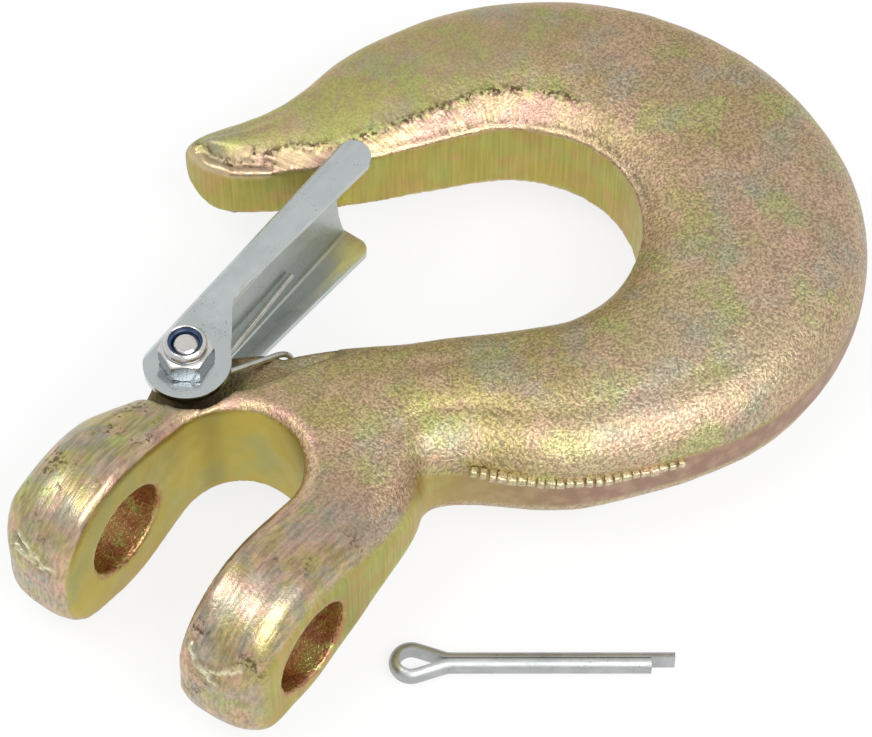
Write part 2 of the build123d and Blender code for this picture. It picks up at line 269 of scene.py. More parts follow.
# Height of each form, and how much torn metal and hammer marks change it
RELIEF = {
    "flash": (0.10, 0.26, 0.16),
    "lip": (0.13, 0.10, 0.0),
    "groove": (-0.10, 0.0, -0.06),
    "lap": (0.45, 0.2, 0.0),
    "lap_groove": (-0.50, 0.0, -0.2),
    "mark": (0.30, 0.6, 0.0),
    "beside_mark": (-0.24, 0.0, -0.2),
}
LUMP_HEIGHT = 0.13
DENT_HEIGHT = 0.05
HAMMER_HEIGHT = 0.11


def forged_skin():
    """Even mesh over the CAD hook with its edges rounded, and its points' places."""
    skin = link("hook_skin", welded("hook_body"))
    remesh = skin.modifiers.new("remesh", "REMESH")
    remesh.mode = "VOXEL"
    remesh.voxel_size = VOXEL * MM
    apply_modifiers(skin)
    pairs = read(skin.data.edges, "vertices", 2, np.int32)
    points = read(skin.data.vertices, "co", 3) / MM
    from_bore = np.hypot(points[:, 0], points[:, 2]) - BORE_RADIUS
    near_bore = 1 - smoothstep(from_bore, *BORE_CALM)
    points = even_out(points, pairs, SMOOTH_ROUNDS, 1 - 0.85 * near_bore, SMOOTH)
    x, y, z = points.T
    from_slot = np.where(x < SLOT_MIDDLE, np.abs(y), np.hypot(x - SLOT_MIDDLE, y)) - SLOT_HALF
    nose = smoothstep(-x, *NOSE_START)
    on_nose = nose * smoothstep(from_slot, *SLOT_SOFTENED)
    points = even_out(points, pairs, NOSE_ROUNDS, on_nose, ROUND_OFF)
    crease = ridge_along(points[:, :2], SHANK_CREASE, CREASE_WIDTH) * smoothstep(z, *CREASE_TOP)
    points = even_out(points, pairs, CREASE_ROUNDS, crease, ROUND_OFF)
    fuller = smoothstep(-x, *FULLER_NOSE) * smoothstep(-z, *FULLER_BELOW)
    fuller *= 1 - smoothstep(-z, *LOWEST_NOSE)
    points = points + np.array(NOSE_PUSH) * fuller[:, None]
    set_coords(skin.data, points * MM)
    return skin, pairs, points, (from_bore, from_slot, nose)


def distance_from_throat_wall(points, is_wall):
    """Distance in plan from each point of the hook to the nearest point of the throat's wall."""
    seeds = points[is_wall]
    tree = KDTree(len(seeds))
    for index, (x, y, z) in enumerate(seeds.tolist()):
        tree.insert((x, y, 0), index)
    tree.balance()
    return np.array([tree.find((x, y, 0))[2] for x, y, z in points.tolist()])


def surface_masks(points, facing, places):
    """Share of each kind of surface at each point, with its angle and its inset from the wall."""
    x, y, z = points.T
    from_bore, from_slot, nose = places
    upness = np.abs(facing[:, 2])
    to_throat = np.array(THROAT) - points[:, :2]
    faces_throat = (to_throat * facing[:, :2]).sum(1) / np.linalg.norm(to_throat, axis=1)
    angle = np.degrees(np.arctan2(-to_throat[:, 1], -to_throat[:, 0]))
    before_tip = 1 - smoothstep(angle, *TIP_TURN)

    # Walls, and how far each point lies from the throat's
    slot = 1 - smoothstep(from_slot, *SLOT_EDGE)
    away = smoothstep(-faces_throat, *FACES_AWAY) * smoothstep(x, *SHANK_TO_BOWL) * before_tip
    low, high = [tilt + (outer - tilt) * away for tilt, outer in zip(WALL_TILT, OUTER_WALL_TILT)]
    wall = (1 - smoothstep(upness, low, high)) * (1 - nose * (1 - slot))
    flat = 1 - wall
    throat_wall = (upness < 0.25) & (faces_throat > 0.3) & (np.abs(z) < 1.0) & (x > BOWL_START[0])
    inset = distance_from_throat_wall(points, throat_wall)

    # Throat facet with its flash line, lip and groove
    inner_side = smoothstep(angle, *THROAT_SIDE) * smoothstep(x, *BOWL_START)
    sharp = smoothstep(angle, *SHARP_FACET)
    width = THROAT_FACET - (THROAT_FACET - TIP_FACET) * smoothstep(angle, *NARROW_FACET)
    past_facet = inset - width + FLASH_WANDER * noise_at(points, 2.6, 5.0) * sharp
    fade = 0.3 + 1.6 * (1 - sharp)
    facet = (1 - smoothstep(past_facet, -fade, fade)) * flat * inner_side * (0.2 + 0.8 * sharp)
    flash = band(past_facet, 0, FLASH_WIDTH) * flat * inner_side * sharp
    lip_run = inner_side * smoothstep(angle, *LIP_START) * before_tip * flat

    # Painted shade: a dark mask over the recess round the latch's head and on the shank under the spring
    from_pivot = np.hypot(x - PIVOT[0], y - PIVOT[1])
    recess = (1 - smoothstep(from_pivot, *RECESS_SHADE_REACH)) * (1 - smoothstep(np.abs(z), *RECESS_SHADE_HEIGHT))
    past_crease = (points[:, :2] - np.array(SHANK_CREASE[0])) @ np.array(TO_SPRING)
    shade = smoothstep(past_crease, *CREASE_SHADE) * smoothstep(np.abs(z), *SHADE_HEIGHT)
    shade *= smoothstep(x, *SHADE_START) * (1 - smoothstep(x, *SHADE_END))

    # Marks on the noses and the tip
    upper = smoothstep(facing[:, 2], *FACES_UP)
    mark, wide_mark = [
        sum(ridge_along(points[:, 1:], path, width) for path in NOSE_MARKS) * nose * upper
        for width in (MARK_WIDTH, BESIDE_MARK_WIDTH)
    ]
    groove_path = [(px + TO_LAP_GROOVE[0], py + TO_LAP_GROOVE[1]) for px, py in TIP_LAP]

    near_bore = 1 - smoothstep(from_bore, *BORE_CALM)
    return {
        "wall": wall,
        "outer": wall * away,
        "slot": slot,
        "facet": facet,
        "stroked": facet * smoothstep(angle, *STROKED_FACET),
        "flash": flash,
        "lip": band(inset, LIP_INSET, LIP_WIDTH) * lip_run,
        "groove": band(inset, GROOVE_INSET, LIP_WIDTH) * lip_run,
        "rim": (1 - smoothstep(from_slot, *SLOT_RIM)) * (1 - slot),
        "recess": np.maximum(recess, 0.7 * shade),
        "mark": mark,
        "beside_mark": wide_mark - mark,
        "lap": ridge_along(points[:, :2], TIP_LAP, LAP_WIDTH) * upper,
        "lap_groove": ridge_along(points[:, :2], groove_path, LAP_GROOVE_WIDTH) * upper * flat,
        "tip_end": smoothstep(angle, *TIP_END) * inner_side,
        "bore": 1 - smoothstep(from_bore, *BORE_EDGE),
        "ear": 1 - smoothstep(x, *EAR_TO_SHANK),
        "calm": smoothstep(from_pivot, *RECESS_CALM) * (1 - near_bore) * (1 - slot),
        "inset": inset,
        "run": angle,
    }


def relief(points, at):
    """Height of the lumps, dents, hammer marks and torn metal at each point."""
    hammer = noise_at(points, 1.7, 23.0)
    torn = noise_at(points, 0.95, 37.0)
    lumps = LUMP_HEIGHT * noise_at(points, 7.5) + DENT_HEIGHT * noise_at(points, 2.4, 11.0)
    height = lumps * (1 - 0.85 * at["wall"])
    height += HAMMER_HEIGHT * hammer * np.maximum(at["facet"], 0.7 * at["rim"])
    for form, (own, torn_share, hammer_share) in RELIEF.items():
        height += (own + torn_share * torn + hammer_share * hammer) * np.clip(at[form], 0, 1)
    return height * at["calm"]


def proudness(points, facing, pairs):
    """How far each point stands proud of the surface round it, as a share of the mesh's step."""
    proud = ((points - neighbour_mean(points, pairs)) * facing).sum(1)[:, None] / (VOXEL * MM)
    for _ in range(PROUD_ROUNDS):
        proud = neighbour_mean(proud, pairs)
    return proud[:, 0]


def paint_masks(mesh, at, proud):
    """Writes the masks that the chromate reads, and the places that its strokes follow."""
    painted = {
        **at,
        "flash": at["flash"] + 0.8 * at["lap_groove"],
        "lip": at["lip"] + at["lap"],
        "groove": at["groove"] + 0.8 * at["beside_mark"],
        "edge": smoothstep(proud, *PROUD_OR_SUNKEN),
        "crevice": smoothstep(-proud, *PROUD_OR_SUNKEN),
    }
    for name in MASKS:
        set_float(mesh, name, np.clip(painted[name], 0, 1))
    for name in PLACES:
        set_float(mesh, name, painted[name])


def make_hook():
    skin, pairs, points, places = forged_skin()
    mesh = skin.data
    facing = read(mesh.vertices, "normal", 3)
    at = surface_masks(points, facing, places)
    points = points + facing * relief(points, at)[:, None]
    points = np.clip(points * MM, np.array(cad_low), np.array(cad_high))
    set_coords(mesh, points)
    mesh.shade_smooth()
    paint_masks(mesh, at, proudness(points, read(mesh.vertices, "normal", 3), pairs))
    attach(skin, "hook")
    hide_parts("hook_body")
    return skin


hook = make_hook()


# Shader helpers
ORIGIN = (0.0, 0.0, 0.0)


def fill(tree, made, inputs):
    """Gives each named or numbered input of a node its value, or links a socket to it."""
    for key, value in inputs.items():
        if isinstance(value, bpy.types.NodeSocket):
            tree.links.new(value, made.inputs[key])
        else:
            made.inputs[key].default_value = value


def node(tree, kind, given=None, **settings):
    made = tree.nodes.new(kind)
    for name, value in settings.items():
        setattr(made, name, value)
    fill(tree, made, given or {})
    return made


def mix_colour(tree, share, first, second, blend="MIX"):
    """Mixes two colours, each a socket or linear red, green and blue."""
    first, second = [c if isinstance(c, bpy.types.NodeSocket) else (*c, 1) for c in (first, second)]
    return node(tree, "ShaderNodeMix", {0: share, 6: first, 7: second}, data_type="RGBA",
                blend_type=blend).outputs[2]


def mix_value(tree, share, first, second):
    return node(tree, "ShaderNodeMix", {0: share, 2: first, 3: second}).outputs[0]


def calculate(tree, operation, values):
    out = values[0]
    for value in values[1:]:
        out = node(tree, "ShaderNodeMath", {0: out, 1: value}, operation=operation).outputs[0]
    return out


def times(tree, *values):
    return calculate(tree, "MULTIPLY", values)


def add_up(tree, *values):
    return calculate(tree, "ADD", values)


def less(tree, value):
    """1 less the value."""
    return calculate(tree, "SUBTRACT", (1.0, value))


def ramp(tree, value, low, high):
    """0 at low and 1 at high, where low may be the larger one."""
    made = node(tree, "ShaderNodeMapRange", {"Value": value, "From Min": low, "From Max": high},
                interpolation_type="SMOOTHSTEP")
    return made.outputs["Result"]


def attribute(tree, name):
    return node(tree, "ShaderNodeAttribute", attribute_name=name).outputs["Fac"]


def millimetres(tree):
    place = node(tree, "ShaderNodeTexCoord").outputs["Object"]
    return vector_math(tree, "SCALE", {0: place, 3: 1 / MM})[0]


def axes(tree, place):
    return node(tree, "ShaderNodeSeparateXYZ", {0: place}).outputs


def bump(tree, height, depth, under=None):
    """Normal of a surface with this height on it, over another relief."""
    inputs = {"Height": height, "Distance": depth * MM, "Strength": 1.0}
    if under is not None:
        inputs["Normal"] = under
    return node(tree, "ShaderNodeBump", inputs).outputs[0]


def vector_math(tree, operation, given):
    return node(tree, "ShaderNodeVectorMath", given, operation=operation).outputs


def cloud(tree, place, detail, **others):
    """Noise texture of lumps one unit in size."""
    given = {"Vector": place, "Scale": 1.0, "Detail": detail, **others}
    return node(tree, "ShaderNodeTexNoise", given).outputs["Fac"]


def group(name, inputs, outputs):
    """Empty node group that reads a place and these inputs. Returns it with its inner sockets."""
    tree = bpy.data.node_groups.new(name, "ShaderNodeTree")
    for socket, value in {"Place": ORIGIN, **inputs}.items():
        kind = "NodeSocketVector" if isinstance(value, tuple) else "NodeSocketFloat"
        made = tree.interface.new_socket(socket, in_out="INPUT", socket_type=kind)
        made.default_value = value
    for socket in outputs:
        tree.interface.new_socket(socket, in_out="OUTPUT", socket_type="NodeSocketFloat")
    return tree, tree.nodes.new("NodeGroupInput").outputs, tree.nodes.new("NodeGroupOutput")


def placed(tree, shared, inputs):
    """Places a node group in a material with its own values."""
    return node(tree, "ShaderNodeGroup", node_tree=shared, given=inputs).outputs


def scaled_place(tree, place, size, shift):
    shrunk = node(tree, "ShaderNodeMath", {0: 1.0, 1: size}, operation="DIVIDE").outputs[0]
    place = vector_math(tree, "SCALE", {0: place, 3: shrunk})[0]
    return vector_math(tree, "ADD", {0: place, 1: shift})[0]


# Effects shared by the materials
ALONG_Z = (1.0, 1.0, 0.04)


def make_patches():
    """Soft patches of a tint, such as a plated finish shows."""
    sizes = {"Size": 8.0, "Shift": 0.0, "Low": 0.45, "High": 0.65}
    tree, given, result = group("tint_patches", sizes, ["Mask"])
    place = scaled_place(tree, given["Place"], given["Size"], given["Shift"])
    field = cloud(tree, place, 3.0, Roughness=0.55)
    fill(tree, result, {"Mask": ramp(tree, field, given["Low"], given["High"])})
    return tree


def make_grain():
    """Pebbled grain of a tumbled forging: its height, and flecks that vary from grain to grain."""
    tree, given, result = group("forged_grain", {"Size": 0.5, "Shift": 0.0}, ["Height", "Fleck"])
    place = scaled_place(tree, given["Place"], given["Size"], given["Shift"])
    fine = cloud(tree, place, 2.0, Roughness=0.5, Distortion=0.6)
    cells = node(tree, "ShaderNodeTexVoronoi", {"Vector": place, "Scale": 0.8}, feature="SMOOTH_F1")
    height = add_up(tree, fine, times(tree, cells.outputs["Distance"], -0.5))
    fill(tree, result, {"Height": height, "Fleck": ramp(tree, fine, 0.36, 0.64)})
    return tree


def make_lines():
    """Fine lines that run along Z unless stretched another way, as a shear or a press leaves."""
    tree, given, result = group("drawn_lines", {"Size": 0.4, "Stretch": ALONG_Z}, ["Height"])
    place = vector_math(tree, "MULTIPLY", {0: given["Place"], 1: given["Stretch"]})[0]
    place = scaled_place(tree, place, given["Size"], ORIGIN)
    fill(tree, result, {"Height": cloud(tree, place, 2.0)})
    return tree


def make_edge_wear_and_hollows():
    """Broken-up masks of bright worn edges and of darkening in hollows."""
    inputs = {"Edge": 0.0, "Crevice": 0.0, "Size": 1.2}
    tree, given, result = group("edge_wear_and_hollow_darkening", inputs, ["Bright", "Darkening"])
    place = scaled_place(tree, given["Place"], given["Size"], (4, 4, 4))
    field = cloud(tree, place, 3.0)
    bright = times(tree, given["Edge"], ramp(tree, field, 0.35, 0.6))
    # Darker where the surface sinks below its neighbours, broken up by noise
    hollow_darkening = times(tree, given["Crevice"], ramp(tree, field, 0.65, 0.4))
    fill(tree, result, {"Bright": bright, "Darkening": hollow_darkening})
    return tree


tint_patches = make_patches()
forged_grain = make_grain()
drawn_lines = make_lines()
edge_wear_and_hollow_darkening = make_edge_wear_and_hollows()


def patches(tree, place, size, shift, low=0.45, high=0.65):
    inputs = {"Place": place, "Size": size, "Shift": shift, "Low": low, "High": high}
    return placed(tree, tint_patches, inputs)["Mask"]


def drawn(tree, place, size, stretch=ALONG_Z):
    return placed(tree, drawn_lines, {"Place": place, "Size": size, "Stretch": stretch})["Height"]


def layered(tree, colour, layers):
    """Lays each tint over a colour, as much as its shares multiply to."""
    for tint, *shares in layers:
        colour = mix_colour(tree, times(tree, *shares), colour, tint)
    return colour


def tinted(tree, place, colour, tints, *where):
    """Lays patches of each tint over a colour, where the masks allow."""
    layers = [(tint, *where, patches(tree, place, *spots), share) for tint, share, *spots in tints]
    return layered(tree, colour, layers)


def new_material(name, metallic):
    material = bpy.data.materials.new(name)
    material.use_nodes = True
    tree = material.node_tree
    shader = tree.nodes["Principled BSDF"]
    shader.inputs["Metallic"].default_value = metallic
    return material, tree, shader


# Chromate colours, in linear red, green and blue
TAN = (0.50, 0.41, 0.185)
OLIVE = (0.545, 0.54, 0.175)
PINK = (0.67, 0.44, 0.33)
GREEN = (0.43, 0.53, 0.16)
STRAW = (0.50, 0.425, 0.105)
GOLD = (0.58, 0.47, 0.095)
TEAL = (0.36, 0.43, 0.23)
GREY = (0.43, 0.41, 0.34)
CREAM = (0.75, 0.55, 0.34)
ROSE = (0.70, 0.43, 0.35)
SHELL = (0.62, 0.49, 0.36)
SLATE = (0.42, 0.40, 0.37)
ORANGE = (0.60, 0.36, 0.15)
RUST = (0.46, 0.20, 0.105)
MAUVE = (0.50, 0.335, 0.235)
CLAY = (0.40, 0.25, 0.18)
LEMON = (0.96, 0.93, 0.62)
DUSK = (0.30, 0.215, 0.17)
BROWN = (0.10, 0.065, 0.035)

# Patches of tint on each kind of surface: the tint and its share, the patches' size and shift,
# and the noise over which a patch comes in
TOP_TINTS = [
    (PINK, 0.5, 6.0, 3.0, 0.45, 0.65),
    (GREEN, 0.45, 8.0, 17.0, 0.5, 0.66),
    (GREY, 0.6, 9.0, 29.0, 0.48, 0.7),
    (MAUVE, 0.4, 2.2, 83.0, 0.5, 0.62),
]
EAR_TINTS = [
    (SLATE, 0.5, 3.6, 91.0, 0.42, 0.62),
    (ROSE, 0.45, 2.8, 37.0, 0.48, 0.62),
]
SHEARED_TINTS = [
    (GREEN, 0.35, 7.0, 41.0, 0.45, 0.65),
    (ORANGE, 0.5, 5.0, 53.0, 0.45, 0.65),
]
SLOT_TINTS = [(TEAL, 0.5, 9.0, 47.0, 0.4, 0.7)]
OUTER_TINTS = [(MAUVE, 1.0, 2.4, 27.0, 0.4, 0.65)]
FACET_TINTS = [(ROSE, 1.0, 4.5, 67.0, 0.42, 0.58)]
BORE_TINTS = [
    (RUST, 1.0, 3.5, 13.0, 0.42, 0.6),
    (OLIVE, 1.0, 2.5, 23.0, 0.5, 0.64),
]

# Runs along X, Y or Z over which a colour comes in
TO_TIP = (4.0, 26.0)
SMOOTHER_TO_TIP = (-10.0, 20.0)
BELOW_BOWL = (-24.0, -42.0)
TO_BOWL_END = (72.0, 90.0)
ROOT_START = (6.0, 16.0)
ROOT_END = (36.0, 24.0)
BELOW_ROOT = (-6.0, -16.0)
SLOT_LOW_EDGE = (-6.0, -13.0)
TO_SHANK = (44.0, 30.0)
RIM_RUN = (2.0, 12.0)
TIP_INSET = (5.2, 3.6)

# Shading, roughness and relief of the chromate
DARKEST = 0.66
LIGHTEST = 1.2
FORGED_ROUGH = 0.42
FACET_ROUGH = 0.36
CREST_ROUGH = 0.30
BURNISHED_ROUGH = 0.2
GRAIN_DEPTH = 0.15
LINE_DEPTH = 0.05


def chromate_patterns(tree, place, at):
    """Grain, lines down the walls, streaks along the ears and strokes across the facets."""
    grain = placed(tree, forged_grain, {"Place": place, "Size": 0.42})
    edge_place = node(tree, "ShaderNodeCombineXYZ", {0: at["run"], 1: at["inset"]}).outputs[0]
    return {
        "grain": grain["Height"],
        "fleck": grain["Fleck"],
        "lines": drawn(tree, place, 0.45),
        "streaks": drawn(tree, place, 0.5, (0.14, 1.0, 0.3)),
        "strokes": drawn(tree, edge_place, 1.1, (1.0, 0.45, 1.0)),
    }


def flats_colour(tree, place, at):
    """Tan that turns olive to the tip, and pinker at the root, the bowl's end and its low side."""
    x, y, z = axes(tree, place)
    at_root = [ramp(tree, y, *BELOW_ROOT), ramp(tree, x, *ROOT_END), ramp(tree, x, *ROOT_START)]
    colour = layered(tree, TAN, [
        (OLIVE, ramp(tree, y, *TO_TIP), 0.7),
        (MAUVE, *at_root, 0.8),
        (SHELL, ramp(tree, y, *BELOW_BOWL), 0.6),
        (MAUVE, ramp(tree, x, *TO_BOWL_END), 0.4),
    ])
    colour = tinted(tree, place, colour, TOP_TINTS)
    return tinted(tree, place, colour, EAR_TINTS, at["ear"])


def walls_colour(tree, place, at):
    """Straw on the sheared walls, gold in the slot and clay on the bowl's outer wall."""
    x, y, z = axes(tree, place)
    inner = tinted(tree, place, GOLD, SLOT_TINTS)
    inner = layered(tree, inner, [(ORANGE, ramp(tree, z, *SLOT_LOW_EDGE), 0.45)])
    outer = tinted(tree, place, CLAY, OUTER_TINTS)
    outer = layered(tree, outer, [(STRAW, ramp(tree, x, *TO_SHANK), 0.6)])
    sheared = tinted(tree, place, STRAW, SHEARED_TINTS)
    return layered(tree, sheared, [(inner, at["slot"]), (outer, at["outer"])])


def with_facets(tree, place, at, colour):
    """Lays the pale hammered facets, the slot's rim and the tip's end over the flats."""
    x, y, z = axes(tree, place)
    pale = layered(tree, tinted(tree, place, CREAM, FACET_TINTS), [(DUSK, at["tip_end"], 0.4)])
    share = add_up(
        tree,
        times(tree, at["facet"], 0.85),
        times(tree, at["rim"], mix_value(tree, ramp(tree, x, *RIM_RUN), 0.25, 0.9)),
        times(tree, at["tip_end"], ramp(tree, at["inset"], *TIP_INSET), less(tree, at["facet"]), 0.6),
    )
    return mix_colour(tree, share, colour, pale)


def shaded(tree, place, at, pattern, crest, colour):
    """Darkens and lightens a colour by the grain, strokes, streaks or lines of each surface."""
    x, y, z = axes(tree, place)
    shades = mix_value(tree, times(tree, ramp(tree, y, *SMOOTHER_TO_TIP), 0.6), pattern["fleck"], 0.5)
    shades = mix_value(tree, at["stroked"], shades, ramp(tree, pattern["strokes"], 0.3, 0.7))
    shades = mix_value(tree, times(tree, crest, 0.7), shades, ramp(tree, pattern["streaks"], 0.3, 0.7))
    on_walls = mix_value(tree, at["slot"], mix_value(tree, at["outer"], pattern["lines"], 0.5), 0.55)
    shades = mix_value(tree, at["wall"], shades, on_walls)
    shade = node(tree, "ShaderNodeMapRange", {"Value": shades, "To Min": DARKEST, "To Max": LIGHTEST})
    grey = node(tree, "ShaderNodeCombineColor", {channel: shade.outputs[0] for channel in range(3)})
    return mix_colour(tree, 1.0, colour, grey.outputs[0], "MULTIPLY")


def with_scuffs(tree, place, at, crest, colour):
    """Adds green tints, dark specks, darkening in hollows, bright worn edges and the trimming marks."""
    def spots(*values):
        return patches(tree, place, *values)

    edges_and_hollows = placed(tree, edge_wear_and_hollow_darkening, {"Place": place, "Edge": at["edge"], "Crevice": at["crevice"]})
    return layered(tree, colour, [
        (GREEN, at["flash"], spots(1.1, 97.0, 0.5, 0.6), less(tree, at["tip_end"]), 0.7),
        (BROWN, at["flash"], spots(0.7, 61.0, 0.45, 0.55), spots(2.6, 19.0, 0.35, 0.5)),
        (BROWN, at["groove"], spots(0.9, 31.0, 0.4, 0.55), 0.6),
        (BROWN, crest, spots(0.6, 7.0, 0.48, 0.6), spots(5.0, 87.0, 0.54, 0.66), 0.8),
        (BROWN, edges_and_hollows["Darkening"], 0.5),
        (CREAM, edges_and_hollows["Bright"], 0.35),
        (CREAM, at["lip"], 0.6),
        (LEMON, at["mark"], mix_value(tree, spots(0.8, 43.0, 0.4, 0.55), 0.25, 0.75)),
    ])


def chromate_roughness(tree, place, at, crest):
    rough = mix_value(tree, at["facet"], FORGED_ROUGH, FACET_ROUGH)
    rough = mix_value(tree, at["wall"], rough, FORGED_ROUGH)
    rough = mix_value(tree, crest, rough, CREST_ROUGH)
    rough = add_up(tree, rough, times(tree, patches(tree, place, 3.0, 71.0, 0.3, 0.7), 0.08))
    burnished = add_up(tree, times(tree, at["mark"], 0.8), times(tree, at["lip"], 0.5))
    return mix_value(tree, burnished, rough, BURNISHED_ROUGH)


def chromate_relief(tree, place, at, pattern, crest):
    """Pebbled grain with the lines, strokes and streaks over it."""
    x, y, z = axes(tree, place)
    to_tip = mix_value(tree, ramp(tree, y, *TO_TIP), 1.0, 0.35)
    on_ear = mix_value(tree, at["ear"], 1.0, 0.25)
    pebbled = mix_value(tree, at["bore"], times(tree, less(tree, at["wall"]), to_tip, on_ear), 0.8)
    fainter = mix_value(tree, add_up(tree, at["slot"], at["outer"]), 1.0, 0.3)
    over = add_up(
        tree,
        times(tree, pattern["lines"], at["wall"], fainter),
        times(tree, pattern["strokes"], at["stroked"], 1.6),
        times(tree, pattern["streaks"], crest, 1.2),
    )
    grain = bump(tree, times(tree, pattern["grain"], pebbled), GRAIN_DEPTH)
    return bump(tree, over, LINE_DEPTH, grain)


def make_chromate():
    """Yellow chromate over a forged and sheared hook, with pink and green tints."""
    material, tree, shader = new_material("yellow_chromate", 1.0)
    place = millimetres(tree)
    at = {name: attribute(tree, name) for name in MASKS + PLACES}
    pattern = chromate_patterns(tree, place, at)
    crest = times(tree, at["ear"], less(tree, at["wall"]))
    colour = with_facets(tree, place, at, flats_colour(tree, place, at))
    colour = mix_colour(tree, at["wall"], colour, walls_colour(tree, place, at))
    colour = shaded(tree, place, at, pattern, crest, colour)
    colour = with_scuffs(tree, place, at, crest, colour)
    drilled = tinted(tree, place, ORANGE, BORE_TINTS)
    # Painted shade: brown laid over the recess round the latch's head and on the shank under the spring
    colour = layered(tree, colour, [(drilled, at["bore"], 0.85), (BROWN, at["recess"], 0.75)])
    fill(tree, shader, {
        "Base Color": colour,
        "Roughness": chromate_roughness(tree, place, at, crest),
        "Normal": chromate_relief(tree, place, at, pattern, crest),
    })
    return material


# Zinc and nylon finishes
# Painted shade inside the latch's fold, and a painted yellow reflection of the hook on the low cheek's end
FOLD_SHADE_ZINC = (0.46, 0.49, 0.475)
HOOK_REFLECTION_YELLOW = (0.60, 0.60, 0.30)
RUBBED_ROUGH = 0.16
RUBBED_ROUND_BOLT = (8.5, 6.0)
HOOK_REFLECTION_LOW = (-7.0, -10.2)
HOOK_REFLECTION_END = (56.0, 66.0)
FOLD_EDGE = 0.15
UPRIGHT = (0.75, 0.15)
DARK_NYLON = (0.012, 0.03, 0.075)
BLUE_NYLON = (0.03, 0.06, 0.13)
NYLON_ROUGH = 0.35


def inside_fold(tree, place, colour):
    """Painted shade inside the folded sheet, and a painted yellow reflection of the hook at the low
    cheek's end.
    """
    x, y, z = axes(tree, place)
    height = node(tree, "ShaderNodeMath", {0: z}, operation="ABSOLUTE").outputs[0]
    return layered(tree, colour, [
        (FOLD_SHADE_ZINC, ramp(tree, height, FOLD_HALF + FOLD_EDGE, FOLD_HALF - FOLD_EDGE), 0.85),
        (HOOK_REFLECTION_YELLOW, ramp(tree, z, *HOOK_REFLECTION_LOW), ramp(tree, x, *HOOK_REFLECTION_END), 0.35),
    ])


def rubbed_round_bolt(tree, place, rough):
    """Roughness that falls where the nut's turning rubbed the sheet round the bolt."""
    plan = vector_math(tree, "MULTIPLY", {0: place, 1: (1.0, 1.0, 0.0)})[0]
    from_bolt = vector_math(tree, "DISTANCE", {0: plan, 1: (*PIVOT, 0.0)})["Value"]
    return mix_value(tree, ramp(tree, from_bolt, *RUBBED_ROUND_BOLT), rough, RUBBED_ROUGH)


def make_plating(name, colour, shade, roughness, grain_size, grain_depth, folded=False, painted_side_shade=None):
    """Zinc plating: cloudy patches, faint drawn lines, a few pits and a fine grain.

    A folded sheet gets painted shade inside its fold and a painted yellow reflection of the hook at its
    low cheek's end, and is rubbed round the bolt.
    The colour for upright faces is painted shade: a darker, bluish colour that those faces take.
    """
    material, tree, shader = new_material(name, 1.0)
    place = millimetres(tree)
    base = layered(tree, colour, [(shade, patches(tree, place, 4.0, 5.0, 0.35, 0.7))])
    lines = drawn(tree, place, 0.35, (0.12, 1.0, 1.0))
    base = layered(tree, base, [(shade, ramp(tree, lines, 0.58, 0.75), 0.35)])
    rough = add_up(tree, times(tree, patches(tree, place, 2.0, 9.0, 0.3, 0.7), 0.1), roughness)
    # Painted shade: faces that stand upright, found by their normal, take the darker bluish side colour
    if painted_side_shade:
        facing = axes(tree, node(tree, "ShaderNodeNewGeometry").outputs["Normal"])[2]
        base = layered(tree, base, [(painted_side_shade, ramp(tree, facing, *UPRIGHT))])
    if folded:
        base = inside_fold(tree, place, base)
        rough = rubbed_round_bolt(tree, place, rough)
    pits = [patches(tree, place, 0.28, 15.0, 0.6, 0.66), patches(tree, place, 2.5, 45.0, 0.5, 0.6)]
    base = layered(tree, base, [(BROWN, *pits, 0.55)])
    grain = placed(tree, forged_grain, {"Place": place, "Size": grain_size})["Height"]
    height = add_up(tree, grain, times(tree, lines, 0.6))
    fill(tree, shader, {"Base Color": base, "Roughness": rough, "Normal": bump(tree, height, grain_depth)})
    return material


def make_nylon():
    material, tree, shader = new_material("blue_nylon", 0.0)
    place = millimetres(tree)
    base = mix_colour(tree, patches(tree, place, 0.8, 2.0), DARK_NYLON, BLUE_NYLON)
    grain = placed(tree, forged_grain, {"Place": place, "Size": 0.2})["Height"]
    shader.inputs["Roughness"].default_value = NYLON_ROUGH
    fill(tree, shader, {"Base Color": base, "Normal": bump(tree, grain, 0.02)})
    return material


chromate = make_chromate()
latch_zinc = make_plating(
    "latch_zinc", colour=(0.61, 0.65, 0.645), shade=(0.56, 0.60, 0.60), roughness=0.34,
    grain_size=0.25, grain_depth=0.012, folded=True,
)
# Zinc for the bolt and nut, with painted shade on their upright faces
bright_zinc = make_plating(
    "bright_zinc", colour=(0.76, 0.74, 0.70), shade=(0.60, 0.60, 0.60), roughness=0.18,
    grain_size=0.3, grain_depth=0.01, painted_side_shade=(0.38, 0.40, 0.43),
)
spring_zinc = make_plating(
    "spring_zinc", colour=(0.62, 0.62, 0.57), shade=(0.45, 0.45, 0.42), roughness=0.26,
    grain_size=0.2, grain_depth=0.01,
)
pin_zinc = make_plating(
    "pin_zinc", colour=(0.49, 0.505, 0.495), shade=(0.40, 0.415, 0.41), roughness=0.36,
    grain_size=0.3, grain_depth=0.015,
)
nylon = make_nylon()
hook.data.materials.append(chromate)


# Wire along a path, and burrs along an edge
BURR_SPACING = 1.35
BURR_LENGTH = 1.35
BURR_HEIGHT = 1.3
BURR_SEED = 7.0
BURR_BRIGHTNESS = 0.4
BURR_PATH = [(33.9, -25.7, 4.4), (36.3, -30.0, 3.7), (40.0, -36.1, 3.0), (45.1, -41.3, 2.6),
             (50.8, -45.7, 2.1), (53.7, -47.8, 1.9)]
SMALLEST_BURR = (0.6, 0.75, 0.75)
LARGEST_BURR = (1.25, 1.2, 1.2)


